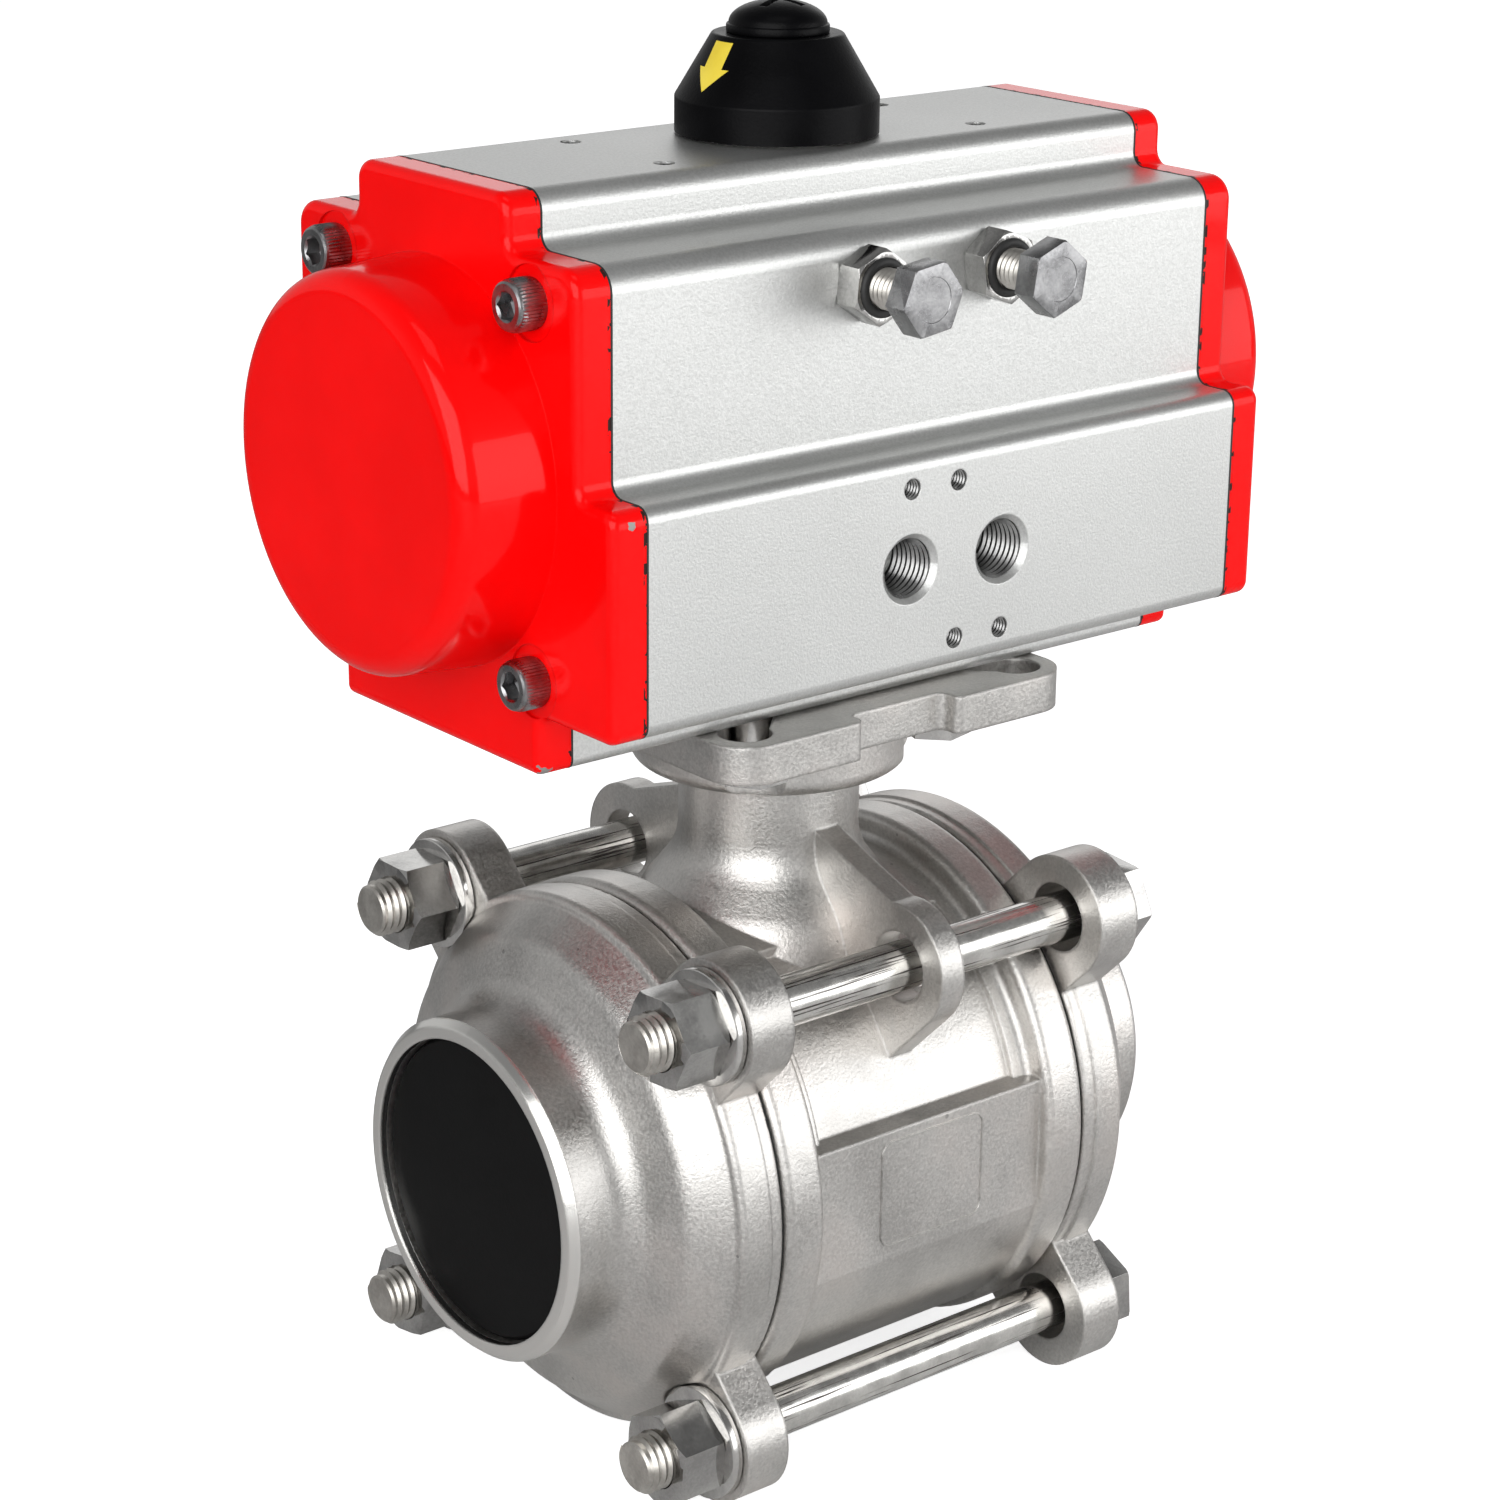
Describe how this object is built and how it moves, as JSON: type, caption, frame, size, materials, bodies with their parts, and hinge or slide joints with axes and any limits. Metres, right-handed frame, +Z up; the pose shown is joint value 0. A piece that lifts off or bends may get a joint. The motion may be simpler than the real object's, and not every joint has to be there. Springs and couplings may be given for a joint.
{
  "type": "pneumatic actuated ball valve",
  "caption": "Spring-return rack-and-pinion pneumatic actuator on a three-piece butt-weld ball valve, with position indicator and stop bolts.",
  "frame": {"origin": "ball centre, where the pipe axis crosses the stem axis", "axes": "+Z up the stem towards the indicator, X along the pipe, -Y towards the air ports"},
  "size_m": [0.2084, 0.1255, 0.2958],
  "materials": {
    "housing": "fine blasted anodised",
    "red_paint": "gloss",
    "black_rubber": "matte",
    "bright_steel": "bright",
    "spring_steel": "satin",
    "white_polymer": "smooth",
    "cast_steel": "investment cast, blasted",
    "graphite": "matte",
    "black_plastic": "satin",
    "yellow_plastic": "satin",
    "polished_steel": "polished",
    "cast_aluminium": "die cast",
    "plug_plastic": "satin"
  },
  "bodies": {
    "frame": {"actuator_body": "housing", "right_end_cap": "red_paint", "left_end_cap": "red_paint", "right_cap_seal": "black_rubber", "left_cap_seal": "black_rubber", "right_cap_screws": "bright_steel", "left_cap_screws": "bright_steel", "right_springs": "spring_steel", "left_springs": "spring_steel", "lower_bearing": "white_polymer", "upper_bearing": "white_polymer", "lower_shaft_seal": "black_rubber", "upper_shaft_seal": "black_rubber", "stop_bolts": "bright_steel", "stop_nuts": "bright_steel", "stop_seals": "black_rubber", "valve_body": "cast_steel", "right_end_piece": "cast_steel", "left_end_piece": "cast_steel", "right_gasket": "graphite", "left_gasket": "graphite", "right_seat": "white_polymer", "left_seat": "white_polymer", "tie_bolts": "bright_steel", "tie_bolt_nuts": "bright_steel", "tie_bolt_washers": "bright_steel", "stem_packing": "white_polymer", "gland_ring": "bright_steel", "mounting_screws": "bright_steel", "mounting_washers": "bright_steel"},
    "rotor": {"pinion_shaft": "bright_steel", "stop_cam": "bright_steel", "thrust_washer": "white_polymer", "snap_ring": "spring_steel", "indicator_cone": "black_plastic", "indicator_arrow": "yellow_plastic", "indicator_screw": "black_plastic", "ball": "polished_steel", "stem": "polished_steel", "stem_thrust_washer": "white_polymer", "belleville_washers": "spring_steel", "stem_nut": "bright_steel", "nut_lock_washer": "bright_steel"},
    "left_piston_body": {"left_piston": "cast_aluminium", "left_piston_seal": "black_rubber", "left_piston_guide": "white_polymer"},
    "right_piston_body": {"right_piston": "cast_aluminium", "right_piston_seal": "black_rubber", "right_piston_guide": "white_polymer"},
    "left_plug": {"left_bore_plug": "plug_plastic"},
    "right_plug": {"right_bore_plug": "plug_plastic"}
  },
  "joints": [
    {"name": "stem_turn", "type": "hinge", "parent": "frame", "child": "rotor", "pos_m": [0, 0, 0], "axis": [0, 0, 1], "range_deg": [0, 90], "stiffness_Nm_per_rad": 8, "springref_deg": -28.65},
    {"name": "left_piston_slide", "type": "slide", "parent": "frame", "child": "left_piston_body", "axis": [-1, 0, 0], "range_m": [0, 0.0221], "deforming": ["left_springs"]},
    {"name": "right_piston_slide", "type": "slide", "parent": "frame", "child": "right_piston_body", "axis": [1, 0, 0], "range_m": [0, 0.0221], "deforming": ["right_springs"]},
    {"name": "left_plug_pull", "type": "slide", "parent": "frame", "child": "left_plug", "axis": [-1, 0, 0], "range_m": [0, 0.03]},
    {"name": "right_plug_pull", "type": "slide", "parent": "frame", "child": "right_plug", "axis": [1, 0, 0], "range_m": [0, 0.03]}
  ],
  "couplings": [
    {"joint": "left_piston_slide", "follows": "stem_turn", "m_per_rad": 0.014},
    {"joint": "right_piston_slide", "follows": "stem_turn", "m_per_rad": 0.014}
  ]
}
